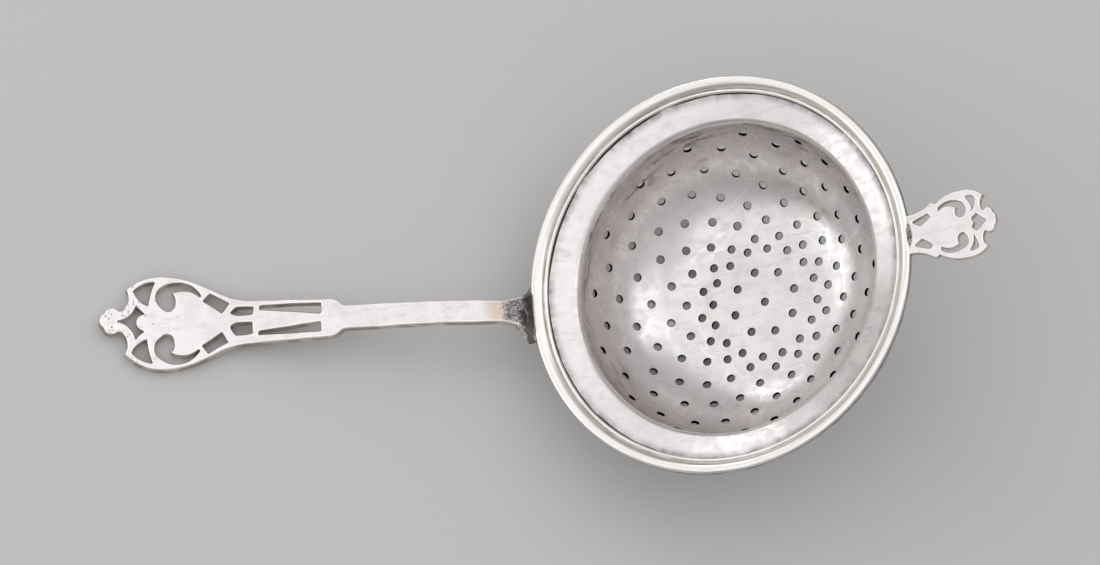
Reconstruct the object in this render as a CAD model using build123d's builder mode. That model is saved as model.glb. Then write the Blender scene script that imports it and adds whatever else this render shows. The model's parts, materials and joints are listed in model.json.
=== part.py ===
"""Silver tea strainer: pierced bowl, reeded rim wire, long pierced handle and short tab handle.

The strainer is modelled as it lies on a table, leaning on the bowl's base and on the end of
the long handle. +Z is up, the tab handle points to +X and the long handle to -X.
All sizes are in millimetres.
"""
import os
from math import cos, pi, radians, sin

from build123d import *

# ---- Driving dimensions ------------------------------------------------------------------

rim_radius = 34.0            # outside of the rim wire
lean = 26.3                  # tilt of the rim plane, down towards the long handle, degrees

# Bowl: one raised sheet. Heights are from the rim plane, which holds the wire's widest line.
sheet = 0.5                  # thickness of the raised sheet
mouth_radius = 26.5          # inside of the straight wall
bowl_depth = 20.9            # rim plane to the inside of the base
corner_radius = 16.0         # inside radius between wall and base
flange_slope = 19.0          # slope of the flange, rising outwards, degrees
flange_edge = 33.9           # radius of the flange's edge
bend_radius = 1.3            # rounded mouth, on the side that shows
wire_inner = 31.4            # radius where the wire meets the flange
wire_seat_height = -0.85     # flange surface under the wire's inner edge

# Straining holes: a centre hole, one ring of 8, and nine rings of 16 set half a step apart.
hole_diameter = 1.3
inner_ring = (5.5, 8, 14.0)                  # radius, holes, first angle
base_rings = (9.5, 11.5)                     # radii of the two rings of 16 on the flat base
even_start = 14.8                            # first angle of every second ring, degrees
odd_start = 3.6
corner_rings = 7                             # rings up the rounded corner
corner_ring_first = 13.4                     # angle round the corner of the first of them
corner_ring_step = 10.65

# Rim wire, drawn with a bead, a groove and a low dome. s runs outwards on the flange, t off it.
bead_width = 0.68
bead_height = 0.55
groove_height = 0.26
dome_height = 0.82
wire_width = 2.85
seam_width = 0.4             # solder run into the corner between flange and wire
seam_height = 0.25

# Long handle: sizes along it are measured from the rim, sizes across it from its centre line.
strap = 2.0                  # thickness of the bar; its weight tips the light bowl over
handle_length = 73.2
handle_askew = 4.8           # the bar is soldered on slightly out of line, degrees
handle_root_y = -0.8
neck_rise = 40.0             # slope of the neck where it leaves the rim, degrees
neck_length = 2.6
neck_radius = 2.0
crest_slope = 1.0            # the back starts almost level, then falls away
back_slope = 14.5            # slope of the long straight back, degrees
back_radius = 75.0
end_radius = 60.0            # the last stretch curls up, so that it lies on the table
end_turn = 26.0
foot_inset = (0.35, -0.6)    # start of the bar's middle line: out from the rim, and up from it

# Tab handle, in the rim plane
tab_thickness = 1.2
tab_height = -0.15           # middle of the tab, from the rim plane
tab_reach = 49.2             # rim centre to the tip of the tab

# ---- Frames ------------------------------------------------------------------------------

corner_x = mouth_radius - corner_radius
corner_z = corner_radius - bowl_depth
rim_height = (
    corner_x * sin(radians(lean)) - corner_z * cos(radians(lean)) + corner_radius + sheet
)
handle_reach = rim_radius * cos(radians(lean)) + handle_length * cos(radians(handle_askew))
rim_x = (handle_reach - tab_reach * cos(radians(lean))) / 2

rim_centre = Vector(rim_x, 0, rim_height)
rim_out = Vector(cos(radians(lean)), 0, sin(radians(lean)))
rim_up = Vector(-sin(radians(lean)), 0, cos(radians(lean)))
rim_plane = Plane(origin=rim_centre, x_dir=rim_out, z_dir=rim_up)
section_plane = Plane(origin=rim_centre, x_dir=rim_out, z_dir=(0, -1, 0))
rim_axis = Axis(rim_centre, rim_up)

handle_dir = Vector(-cos(radians(handle_askew)), sin(radians(handle_askew)), 0)
handle_foot = Vector(rim_x - rim_radius * cos(radians(lean)), handle_root_y, 0)
handle_plane = Plane(origin=handle_foot, x_dir=handle_dir, z_dir=(0, 0, 1))
handle_side = Plane(origin=handle_foot, x_dir=handle_dir, z_dir=handle_dir.cross(Vector(0, 0, 1)))


def on_slope(s, t):
    """A point of the wire's section: s outwards along the flange, t off its surface."""
    a = radians(flange_slope)
    return (wire_inner + s * cos(a) - t * sin(a), wire_seat_height + s * sin(a) + t * cos(a))


def arc_chain(*points):
    """Arcs through three points each; neighbouring arcs share an end."""
    for start, middle, end in zip(points[0::2], points[1::2], points[2::2]):
        ThreePointArc(start, middle, end)


# ---- Strainer bowl -----------------------------------------------------------------------

slope = radians(flange_slope)
seat_at_mouth = wire_seat_height - (wire_inner - mouth_radius) * (sin(slope) / cos(slope))


def meridian(depth):
    """The bowl's section line, depth below the side that shows."""
    wall = mouth_radius + depth
    corner = corner_radius + depth
    lip_z = seat_at_mouth - depth / cos(slope) + depth * sin(slope) / cos(slope)
    lip = bend_radius - depth
    tangent = lip / cos(slope) * (1 - sin(slope))
    edge_z = wire_seat_height + (flange_edge - wire_inner) * sin(slope) / cos(slope)
    base = Line((0, corner_z - corner), (corner_x, corner_z - corner))
    CenterArc((corner_x, corner_z), corner, -90, 90)
    Line((wall, corner_z), (wall, lip_z - tangent))
    CenterArc((wall + lip, lip_z - tangent), lip, 180, flange_slope - 90)
    Line(
        (wall + lip - lip * sin(slope), lip_z - tangent + lip * cos(slope)),
        (flange_edge, edge_z - depth / cos(slope)),
    )
    return base


def ring_places(distance, height, tip, count, start):
    """Planes on the middle of the sheet round one ring of holes, facing along each hole."""
    places = []
    for number in range(count):
        turn = radians(start + number * 360 / count)
        outward = rim_plane.x_dir * cos(turn) + rim_plane.y_dir * sin(turn)
        facing = outward * sin(radians(tip)) - rim_up * cos(radians(tip))
        places.append(Plane(origin=rim_centre + outward * distance + rim_up * height, z_dir=facing))
    return places


def hole_places():
    """Every straining hole: centre, rings on the flat base, rings up the rounded corner."""
    base = -bowl_depth - sheet / 2
    radius, count, start = inner_ring
    places = [Plane(origin=rim_centre + rim_up * base, z_dir=rim_up)]
    places += ring_places(radius, base, 0, count, start)
    for radius, start in zip(base_rings, (even_start, odd_start)):
        places += ring_places(radius, base, 0, 16, start)
    middle = corner_radius + sheet / 2
    for ring in range(corner_rings):
        up = corner_ring_first + ring * corner_ring_step
        start = even_start if ring % 2 == 0 else odd_start
        distance = corner_x + middle * sin(radians(up))
        places += ring_places(distance, corner_z - middle * cos(radians(up)), up, 16, start)
    return places


with BuildPart() as strainer_bowl:
    with BuildSketch(section_plane):
        with BuildLine():
            inside = meridian(0)
            outside = meridian(sheet)
            Line(inside @ 0, outside @ 0)
            edge_top = wire_seat_height + (flange_edge - wire_inner) * sin(slope) / cos(slope)
            Line((flange_edge, edge_top), (flange_edge, edge_top - sheet / cos(slope)))
        make_face()
    revolve(axis=rim_axis)
    with Locations(*hole_places()):
        Cylinder(hole_diameter / 2, 5 * sheet, mode=Mode.SUBTRACT)
strainer_bowl.part.label = "strainer_bowl"

# ---- Rim wire and its solder seam --------------------------------------------------------

with BuildPart() as rim_wire:
    with BuildSketch(section_plane):
        with BuildLine():
            Line(on_slope(0, 0), on_slope(0, groove_height))
            arc_chain(
                on_slope(0, groove_height),
                on_slope(bead_width / 2, bead_height),
                on_slope(bead_width, groove_height),
                on_slope(wire_width * 0.62, dome_height),
                on_slope(wire_width, 0.30),
            )
            Polyline(on_slope(wire_width, 0.30), on_slope(wire_width - 0.12, 0), on_slope(0, 0))
        make_face()
    revolve(axis=rim_axis)
rim_wire.part.label = "rim_wire"

with BuildPart() as rim_solder:
    with BuildSketch(section_plane):
        with BuildLine():
            Polyline(
                on_slope(-seam_width, 0), on_slope(0, 0), on_slope(0, seam_height), close=True
            )
        make_face()
    revolve(axis=rim_axis)
rim_solder.part.label = "rim_solder"

# ---- Long handle -------------------------------------------------------------------------


def handle_outline():
    """One half of the bar's outline, from the tip to the flared foot."""
    arc_chain((handle_length, 0), (72.95, 0.8), (72.35, 1.35), (71.4, 2.35), (70.1, 2.0))
    arc_chain((70.1, 2.0), (69.6, 1.88), (69.15, 2.15), (68.3, 3.8), (68.75, 5.65))
    arc_chain((68.75, 5.65), (66.5, 7.35), (62.3, 8.3), (59.2, 7.9), (56.1, 6.85))
    Line((56.1, 6.85), (52.0, 5.0))
    ThreePointArc((52.0, 5.0), (49.6, 4.12), (46.6, 3.8))
    Line((46.6, 3.8), (33.9, 3.35))
    arc_chain((33.9, 3.35), (32.7, 2.95), (31.9, 2.3), (31.5, 2.12), (30.9, 2.1))
    Line((30.9, 2.1), (5.9, 1.95))
    ThreePointArc((5.9, 1.95), (2.2, 2.8), (-0.2, 5.0))
    Polyline((-0.2, 5.0), (-2.0, 5.0), (-2.0, 0), (handle_length, 0))


def wing_opening():
    ThreePointArc((67.45, 5.45), (66.0, 6.55), (63.85, 7.1))
    ThreePointArc((63.85, 7.1), (64.55, 5.1), (64.95, 3.0))
    ThreePointArc((64.95, 3.0), (66.4, 3.9), (67.45, 5.45))


def scroll_opening():
    arc_chain((55.9, 4.95), (59.2, 7.1), (62.6, 6.2), (63.6, 4.3), (62.6, 2.6))
    arc_chain((62.6, 2.6), (61.2, 2.1), (60.3, 3.3), (60.3, 4.3), (60.9, 5.2))
    arc_chain((60.9, 5.2), (58.5, 5.75), (56.1, 4.65), (55.85, 4.7), (55.9, 4.95))


def slanting_opening():
    Polyline((54.35, 5.2), (51.05, 3.4), (52.15, 1.65), (55.45, 3.9), close=True)


def pointed_opening():
    Polyline((50.7, 1.0), (49.7, 2.3), (46.9, 2.15), (47.0, 0.47), (49.6, 0.43), close=True)


def tapering_opening():
    Polyline((45.5, 2.0), (35.45, 0.8), (35.45, 2.5), (45.5, 2.65))
    ThreePointArc((45.5, 2.65), (45.85, 2.33), (45.5, 2.0))


def end_opening():
    """Half of the four-pointed opening near the tip, with a bud standing into it."""
    ThreePointArc((70.1, 0), (67.9, 1.15), (66.9, 2.88))
    Line((66.9, 2.88), (65.45, 1.55))
    ThreePointArc((65.45, 1.55), (66.5, 1.0), (66.9, 0))
    Line((66.9, 0), (70.1, 0))


handle_openings = (
    wing_opening,
    scroll_opening,
    slanting_opening,
    pointed_opening,
    tapering_opening,
    end_opening,
)
lean_cos = cos(radians(lean))
lean_sin = sin(radians(lean))
foot_out, foot_up = foot_inset
neck_start = (
    foot_out * lean_cos + foot_up * lean_sin,
    rim_height - (rim_radius + foot_out) * lean_sin + foot_up * lean_cos,
)
rest_height = strap / 2 + end_radius * (1 - cos(radians(back_slope)))

with BuildPart() as long_handle:
    with BuildSketch(handle_plane):
        with BuildLine():
            handle_outline()
        make_face()
        for opening in handle_openings:
            with BuildLine():
                opening()
            make_face(mode=Mode.SUBTRACT)
        mirror(about=Plane.XZ)
    extrude(amount=rim_height)
    with BuildSketch(handle_side):
        with BuildLine():
            neck = PolarLine(neck_start, neck_length, neck_rise)
            crest = JernArc(neck @ 1, neck % 1, neck_radius, -neck_rise - crest_slope)
            back = JernArc(crest @ 1, crest % 1, back_radius, crest_slope - back_slope)
            fall = (back @ 1).Y - rest_height
            run = PolarLine(back @ 1, fall / sin(radians(back_slope)), -back_slope)
            JernArc(run @ 1, run % 1, end_radius, end_turn)
        trace(line_width=strap)
    extrude(amount=12, both=True, mode=Mode.INTERSECT)
    add(rim_wire.part, mode=Mode.SUBTRACT)
    add(strainer_bowl.part, mode=Mode.SUBTRACT)
long_handle.part.label = "long_handle"

# ---- Tab handle --------------------------------------------------------------------------


def tab_outline():
    """One half of the tab's outline, from the tip to the root at the rim."""
    arc_chain((tab_reach, 0), (49.1, 0.75), (48.75, 1.3), (48.1, 2.1), (47.2, 1.75))
    arc_chain((47.2, 1.75), (46.7, 2.9), (47.5, 4.3))
    arc_chain((47.5, 4.3), (45.8, 5.5), (43.4, 5.8), (41.1, 5.45), (38.95, 4.38))
    arc_chain((38.95, 4.38), (38.4, 4.72), (37.8, 4.55))
    arc_chain((37.8, 4.55), (36.0, 3.62), (34.2, 3.3))
    Polyline((34.2, 3.3), (33.2, 3.3), (33.2, 0), (tab_reach, 0))


def tab_root_opening():
    Polyline((34.8, 2.0), (37.45, 2.98), (37.9, 2.43), (36.2, 1.15), close=True)


def tab_scroll_opening():
    arc_chain((39.4, 3.55), (41.6, 4.35), (43.6, 3.75), (44.1, 2.6), (43.4, 1.4))
    arc_chain((43.4, 1.4), (42.5, 1.85), (42.6, 3.1), (41.0, 3.6), (39.4, 3.1))
    Line((39.4, 3.1), (39.4, 3.55))


def tab_wing_opening():
    ThreePointArc((44.2, 4.6), (45.2, 4.62), (45.85, 4.1))
    ThreePointArc((45.85, 4.1), (45.6, 3.1), (45.15, 2.15))
    ThreePointArc((45.15, 2.15), (44.9, 3.5), (44.2, 4.6))


def tab_end_opening():
    """Half of the opening near the tip."""
    Polyline((47.4, 0), (45.8, 1.45), (44.95, 0.8), (45.35, 0), close=True)


tab_openings = (tab_root_opening, tab_scroll_opening, tab_wing_opening, tab_end_opening)

with BuildPart() as tab_handle:
    with BuildSketch(rim_plane.offset(tab_height)):
        with BuildLine():
            tab_outline()
        make_face()
        for opening in tab_openings:
            with BuildLine():
                opening()
            make_face(mode=Mode.SUBTRACT)
        mirror(about=Plane.XZ)
    extrude(amount=tab_thickness / 2, both=True)
    add(rim_wire.part, mode=Mode.SUBTRACT)
    add(strainer_bowl.part, mode=Mode.SUBTRACT)
tab_handle.part.label = "tab_handle"

# ---- Solder at the two handles -----------------------------------------------------------


def rim_section(angle):
    """The plane through the rim's axis at this angle from the tab handle."""
    outward = rim_plane.x_dir * cos(radians(angle)) + rim_plane.y_dir * sin(radians(angle))
    return Plane(origin=rim_centre, x_dir=outward, z_dir=outward.cross(rim_up))


handle_angle = 180.0 - handle_root_y / rim_radius * 180 / pi
handle_fillet = ((33.5, -1.3), (34.5, -1.25), (35.2, -0.2), (35.5, 0.9), (34.4, 0.75), (33.5, 0.3))
handle_fillet_half = 9.6     # degrees each side of the foot's middle
with BuildPart() as handle_solder:
    with BuildSketch(rim_section(handle_angle - handle_fillet_half)):
        with BuildLine():
            Polyline(*handle_fillet, close=True)
        make_face()
    revolve(axis=rim_axis, revolution_arc=2 * handle_fillet_half)
    add(rim_wire.part, mode=Mode.SUBTRACT)
    add(strainer_bowl.part, mode=Mode.SUBTRACT)
    add(long_handle.part, mode=Mode.SUBTRACT)
handle_solder.part.label = "handle_solder"

tab_fillet = ((33.5, -1.15), (34.5, -0.95), (34.5, 0.65), (33.7, 0.75))
tab_fillet_half = 6.3
with BuildPart() as tab_solder:
    with BuildSketch(rim_section(-tab_fillet_half)):
        with BuildLine():
            Polyline(*tab_fillet, close=True)
        make_face()
    revolve(axis=rim_axis, revolution_arc=2 * tab_fillet_half)
    add(rim_wire.part, mode=Mode.SUBTRACT)
    add(strainer_bowl.part, mode=Mode.SUBTRACT)
    add(tab_handle.part, mode=Mode.SUBTRACT)
tab_solder.part.label = "tab_solder"

# ---- Files -------------------------------------------------------------------------------

os.makedirs("parts", exist_ok=True)
export_step(strainer_bowl.part, "parts/strainer_bowl.step")
export_step(rim_wire.part, "parts/rim_wire.step")
export_step(rim_solder.part, "parts/rim_solder.step")
export_step(long_handle.part, "parts/long_handle.step")
export_step(tab_handle.part, "parts/tab_handle.step")
export_step(handle_solder.part, "parts/handle_solder.step")
export_step(tab_solder.part, "parts/tab_solder.step")
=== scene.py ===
# %% [markdown]
# # A silver tea strainer
# The strainer is seven pieces of silver: a raised and pierced bowl, a reeded wire round its rim,
# a long sawn handle, a short sawn tab, and the three runs of solder that hold them together.
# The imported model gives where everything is. This lesson builds each piece again as a finished
# mesh, with softened edges and slightly uneven hand work, and then gives each its own silver.

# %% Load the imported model
import json
from math import cos, hypot, pi, radians, sin, tau

import bpy
import numpy as np
from mathutils import Matrix, Vector
from mathutils.geometry import delaunay_2d_cdt


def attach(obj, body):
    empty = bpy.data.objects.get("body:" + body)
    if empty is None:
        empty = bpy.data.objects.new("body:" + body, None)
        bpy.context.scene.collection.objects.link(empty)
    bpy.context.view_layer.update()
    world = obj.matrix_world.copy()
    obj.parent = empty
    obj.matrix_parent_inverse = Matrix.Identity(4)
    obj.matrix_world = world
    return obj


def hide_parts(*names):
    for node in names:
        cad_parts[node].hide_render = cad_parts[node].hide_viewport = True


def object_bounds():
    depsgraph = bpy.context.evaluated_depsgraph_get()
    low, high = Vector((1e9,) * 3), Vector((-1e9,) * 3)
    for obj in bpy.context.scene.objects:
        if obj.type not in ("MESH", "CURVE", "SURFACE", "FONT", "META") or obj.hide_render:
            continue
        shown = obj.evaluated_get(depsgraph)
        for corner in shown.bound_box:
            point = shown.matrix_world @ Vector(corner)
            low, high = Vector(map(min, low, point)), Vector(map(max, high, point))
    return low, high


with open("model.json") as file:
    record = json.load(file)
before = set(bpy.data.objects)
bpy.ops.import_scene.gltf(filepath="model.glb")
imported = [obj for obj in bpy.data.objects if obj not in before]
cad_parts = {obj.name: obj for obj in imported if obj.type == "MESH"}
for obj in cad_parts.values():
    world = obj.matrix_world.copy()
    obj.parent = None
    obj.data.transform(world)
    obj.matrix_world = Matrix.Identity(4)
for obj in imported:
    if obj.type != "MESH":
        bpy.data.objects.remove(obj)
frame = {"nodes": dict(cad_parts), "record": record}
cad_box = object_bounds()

MM = 0.001
print("pieces in the frame:", sorted(frame["nodes"]))

# %% [markdown]
# ## Where the rim is
# The strainer lies tipped over on its heavy handle, so the rim is a tilted circle. Almost every
# shape here is round about the rim's axis, and it is far easier to think in the rim's own
# directions: outwards to the tab, sideways, and up out of the bowl. The record states the rim's
# centre and axis as a mount, so they are read from there and nothing is measured twice.

# %% The rim's centre and directions
seat = next(mount for mount in frame["record"]["mounts"] if mount["name"] == "cup_seat")
rim_centre = np.array(seat["pos_m"]) / MM
rim_up = -np.array(seat["axis"])
rim_up = rim_up / np.linalg.norm(rim_up)
rim_out = np.array([rim_up[2], 0, -rim_up[0]])
rim_side = np.cross(rim_up, rim_out)
rim_radius = 34.0


def from_rim(out, side, up):
    """Millimetres along the rim's three directions, as points of the table's frame in metres."""
    parts = np.multiply.outer(out, rim_out) + np.multiply.outer(side, rim_side)
    return (rim_centre + parts + np.multiply.outer(up, rim_up)) * MM


lean = np.arctan2(-rim_up[0], rim_up[2])
print(f"rim centre {rim_centre.round(2)} mm, leaning {np.degrees(lean):.1f} degrees")

# %% [markdown]
# ## Camera
# The view is from high above, a little to the left of the near side, with a long lens so that the
# rim stays a clean ellipse. The camera is rolled a few degrees, which makes the handles run
# uphill across the picture.


# %% Camera
def direction(azimuth, elevation):
    """The way to something at this azimuth and elevation, both in radians."""
    return Vector((sin(azimuth) * cos(elevation), -cos(azimuth) * cos(elevation), sin(elevation)))


view_target = Vector((3.30, 7.80, 0.0)) * MM
view_distance = 1057.4 * MM
view_azimuth, view_elevation, view_roll = radians(-13.65), radians(73.17), radians(9.46)

camera_data = bpy.data.cameras.new("camera")
camera_data.lens = 203.0
camera_data.sensor_width = 36.0
camera = bpy.data.objects.new("camera", camera_data)
bpy.context.scene.collection.objects.link(camera)
back = direction(view_azimuth, view_elevation)
turn = back.to_track_quat("Z", "Y").to_matrix().to_4x4() @ Matrix.Rotation(view_roll, 4, "Z")
camera.matrix_world = Matrix.Translation(view_target + back * view_distance) @ turn
bpy.context.scene.camera = camera
print("camera at", [round(c, 3) for c in camera.location])

# %% [markdown]
# ## Floor and light
# Silver has no colour of its own to speak of: it shows whatever stands round it. One large soft
# light hangs where the flat faces mirror it, so that they go white. Three smaller ones, low at
# the back, low at the left and high at the right, put bright lines on the rounded edges. The
# rest of the room is a quiet grey gradient, so that the walls of the bowl turn darker. The floor
# is a plain pale sheet. The Standard view is used because it leaves white metal white.

# %% Floor
floor_mesh = bpy.data.meshes.new("floor")
floor_mesh.from_pydata(
    [(-1.5, -1.5, 0), (1.5, -1.5, 0), (1.5, 1.5, 0), (-1.5, 1.5, 0)], [], [(0, 1, 2, 3)]
)
floor = bpy.data.objects.new("floor", floor_mesh)
bpy.context.scene.collection.objects.link(floor)
floor_paint = bpy.data.materials.new("pale_floor")
floor_paint.use_nodes = True
floor_shader = floor_paint.node_tree.nodes["Principled BSDF"]
floor_shader.inputs["Base Color"].default_value = (0.62, 0.61, 0.60, 1)
floor_shader.inputs["Roughness"].default_value = 0.75
floor_mesh.materials.append(floor_paint)


# %% Soft lights and the room
def softbox(name, azimuth, elevation, distance, size, watts, tint=(1, 1, 1)):
    """A square soft light that faces the strainer from this direction."""
    data = bpy.data.lights.new(name, "AREA")
    data.shape = "SQUARE"
    data.size = size
    data.energy = watts
    data.color = tint
    lamp = bpy.data.objects.new(name, data)
    bpy.context.scene.collection.objects.link(lamp)
    way = direction(radians(azimuth), radians(elevation))
    facing = way.to_track_quat("Z", "Y").to_matrix().to_4x4()
    lamp.matrix_world = Matrix.Translation(way * distance) @ facing


softbox("top_light", 254, 50, 1.0, 1.7, 3.5)
softbox("back_light", 213, 20, 1.2, 0.35, 0.5)
softbox("left_light", 262, 15, 1.3, 0.6, 1.1)
softbox("right_light", 114, 58, 1.2, 0.9, 1.6, (0.98, 0.985, 1.0))

bpy.context.scene.view_settings.view_transform = "Standard"
world = bpy.data.worlds.new("room")
bpy.context.scene.world = world
world.use_nodes = True
room = world.node_tree
room_place = room.nodes.new("ShaderNodeTexCoord")
room_split = room.nodes.new("ShaderNodeSeparateXYZ")
room_ramp = room.nodes.new("ShaderNodeValToRGB")
room_tones = room_ramp.color_ramp.elements
room_tones[0].position, room_tones[0].color = 0.0, (0.22, 0.215, 0.21, 1)
room_tones[1].position, room_tones[1].color = 1.0, (0.74, 0.74, 0.745, 1)
room_tones.new(0.3).color = (0.38, 0.375, 0.37, 1)
room_tones.new(0.7).color = (0.62, 0.62, 0.62, 1)
room.links.new(room_place.outputs["Generated"], room_split.inputs[0])
room.links.new(room_split.outputs["Z"], room_ramp.inputs["Fac"])
room.links.new(room_ramp.outputs["Color"], room.nodes["Background"].inputs["Color"])
room.nodes["Background"].inputs["Strength"].default_value = 1.0

# %% [markdown]
# ## Tools for shapes
# Three small tools serve every piece. `walk` follows a section made of straight lines and arcs,
# the way a template is drawn. `uneven` is a surface of long shallow waves, because nothing that
# was hammered or filed by hand is exactly true, and reflections show it at once. `make_piece`
# turns points and faces into a Blender object. It takes the surface's true directions as custom
# normals, since shading that comes from triangles alone looks faceted on polished metal.


# %% Following a section of lines and arcs
def walk(start, heading, parts, distance):
    """Position and heading at each distance along (length, turn) parts that follow each other."""
    distance = np.asarray(distance, float)
    across, up, angle = (np.zeros(distance.shape) for _ in range(3))
    x, z, begin = *start, 0.0
    for number, (length, turn_by) in enumerate(parts):
        here = distance >= begin if number else np.ones(distance.shape, bool)
        d = distance[here] - begin
        if turn_by == 0:
            across[here], up[here], angle[here] = x + d * cos(heading), z + d * sin(heading), heading
            x, z = x + length * cos(heading), z + length * sin(heading)
        else:
            bend = turn_by / length
            across[here] = x + (np.sin(heading + bend * d) - sin(heading)) / bend
            up[here] = z - (np.cos(heading + bend * d) - cos(heading)) / bend
            angle[here] = heading + bend * d
            x += (sin(heading + turn_by) - sin(heading)) / bend
            z -= (cos(heading + turn_by) - cos(heading)) / bend
            heading += turn_by
        begin += length
    return across, up, angle


def uneven(seed, waves, longest, shortest, height):
    """A function of two coordinates: many shallow waves laid over each other."""
    rng = np.random.default_rng(seed)
    way, start = rng.uniform(0, tau, waves), rng.uniform(0, tau, waves)
    length = rng.uniform(shortest, longest, waves)

    def rise(x, y):
        total = 0.0
        for w, b, l in zip(way, start, length):
            total = total + np.sin((x * cos(w) + y * sin(w)) * tau / l + b)
        return total * height / np.sqrt(waves)

    return rise


# %% Making an object
def make_piece(name, points, faces, normals, values=None):
    """A smooth mesh object; values holds numbers for each point that the finish can read."""
    mesh = bpy.data.meshes.new(name)
    points = np.clip(points, *map(np.array, cad_box))  # hand work never adds to the overall size
    mesh.from_pydata(points.tolist(), [], [list(map(int, f)) for f in faces])
    mesh.polygons.foreach_set("use_smooth", [True] * len(mesh.polygons))
    for label, numbers in (values or {}).items():
        layer = mesh.attributes.new(label, "FLOAT", "POINT")
        layer.data.foreach_set("value", np.asarray(numbers, np.float32))
    mesh.update()
    lengths = np.linalg.norm(normals, axis=1, keepdims=True)
    mesh.normals_split_custom_set_from_vertices((normals / lengths).tolist())
    piece = bpy.data.objects.new(name, mesh)
    bpy.context.scene.collection.objects.link(piece)
    print(f"{name}: {len(mesh.vertices)} points, {len(mesh.polygons)} faces")
    return piece


def ring_faces(rows, count):
    """Quads between closed rows of points, each a list of count indices."""
    return [
        (low[i], low[(i + 1) % count], high[(i + 1) % count], high[i])
        for low, high in zip(rows, rows[1:])
        for i in range(count)
    ]


# %% [markdown]
# ## The bowl
# A silversmith raises the bowl from one disc of thin sheet: a flat base, a wide rounded corner,
# a short upright wall, a tight turn at the mouth and a flange that slopes up to the rim. The
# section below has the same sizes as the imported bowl. A point of the bowl is named by a flat
# pattern: how far it is from the middle of the base along the metal, and in which direction.

# %% The bowl's section
sheet = 0.5
mouth_radius, bowl_depth, corner_radius = 26.5, 20.9, 16.0
flange_slope, flange_edge, mouth_bend = radians(19.0), 33.9, 1.3
wire_inner, wire_seat_height = 31.4, -0.85

corner_start = mouth_radius - corner_radius
mouth_height = wire_seat_height - (wire_inner - mouth_radius) * np.tan(flange_slope)
mouth_tangent = mouth_bend * (1 - sin(flange_slope)) / cos(flange_slope)
mouth_turn = pi / 2 - flange_slope
flange_start = mouth_radius + mouth_bend * (1 - sin(flange_slope))
bowl_parts = [
    (corner_start, 0),
    (corner_radius * pi / 2, pi / 2),
    (mouth_height - mouth_tangent + bowl_depth - corner_radius, 0),
    (mouth_bend * mouth_turn, -mouth_turn),
    ((flange_edge - flange_start) / cos(flange_slope), 0),
]
bowl_marks = np.cumsum([0] + [length for length, _ in bowl_parts])
bowl_rise = uneven(3, 14, 26.0, 8.0, 0.035)


def bowl_radius(along):
    """How far from the axis the section is after this distance along the metal."""
    return walk((0.0, -bowl_depth), 0.0, bowl_parts, np.array([along]))[0][0]


def bowl_surface(x, y, depth=0.0):
    """Points of the bowl over its flat pattern, this deep below the side that shows."""
    along, turned = np.hypot(x, y), np.arctan2(y, x)
    radius, height, angle = walk((0.0, -bowl_depth), 0.0, bowl_parts, along)
    off = bowl_rise(x, y) - depth
    radius, height = radius - np.sin(angle) * off, height + np.cos(angle) * off
    return from_rim(radius * np.cos(turned), radius * np.sin(turned), height)


def surface_normals(surface, x, y, step=0.02):
    """The way a surface faces, from how it changes over a small step each way."""
    along_x = surface(x + step, y) - surface(x - step, y)
    along_y = surface(x, y + step) - surface(x, y - step)
    normals = np.cross(along_x, along_y)
    return normals / np.linalg.norm(normals, axis=-1, keepdims=True)


print("bowl section, mm along the metal:", bowl_marks.round(1))

# %% [markdown]
# ## The straining holes
# The holes are drilled in rings: one in the middle, a ring of 8, and nine rings of 16 that are
# each turned half a step. The driller marked them by eye, so each is moved a little from its
# true place, by seeded chance. Around a hole the triangles follow circles of the hole's true
# size, which leaves a clean edge that can be rounded.

# %% Where the holes are
hole_radius, hole_lip = 0.65, 0.09
even_start, odd_start = 14.8, 3.6
corner_first, corner_step = 13.4, 10.65  # degrees up the rounded corner
drill_slip = 0.11
hole_rings = [(0.0, 1, 0.0), (5.5, 8, 14.0), (9.5, 16, even_start), (11.5, 16, odd_start)]
for ring in range(7):
    up_corner = corner_start + corner_radius * radians(corner_first + corner_step * ring)
    hole_rings.append((up_corner, 16, odd_start if ring % 2 else even_start))

drill = np.random.default_rng(11)
holes = []
for along, count, start in hole_rings:
    for number in range(count):
        slip = drill.normal(0, drill_slip, 2)
        spin = radians(start + 360 * number / count)
        middle_radius = bowl_radius(along)
        holes.append((along + slip[0], spin + slip[1] / max(middle_radius, 1.0), max(middle_radius, 0.0)))
print(len(holes), "holes")


def round_hole(hole, distance, count, first=0.0):
    """Flat-pattern points at this true distance round a hole."""
    along, spin, middle_radius = hole
    angles = first + np.arange(count) * tau / count
    if middle_radius == 0:
        return along + distance * np.cos(angles), distance * np.sin(angles)
    s = along + distance * np.cos(angles)
    turned = spin + distance * np.sin(angles) / middle_radius
    return s * np.cos(turned), s * np.sin(turned)


# %% [markdown]
# The pierced part of the bowl is a net of triangles over the flat pattern. Blender's own
# constrained triangulation joins the circles round the holes with an even scatter of points
# between them. Further out there are no holes, and plain rings of quads are better.

# %% The net over the pierced part
points_per_hole = 20
around = 288
net_edge = 34.2
spacing = 0.85
guard_rings, guard_turn = (0.16, 0.38), 0.16  # two more circles outside each hole's rounded edge

flat, owner, hole_loops = [], [], []
angles = np.arange(around) * tau / around
flat += list(zip(net_edge * np.cos(angles), net_edge * np.sin(angles)))
owner += [-1] * around
for number, hole in enumerate(holes):
    hole_loops.append(range(len(flat), len(flat) + points_per_hole))
    for ring, more in enumerate((0.0, *guard_rings)):
        reach = hole_radius + (hole_lip + more)
        flat += list(zip(*round_hole(hole, reach, points_per_hole, guard_turn * ring)))
        owner += [number if ring == 0 else -1] * points_per_hole

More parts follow.
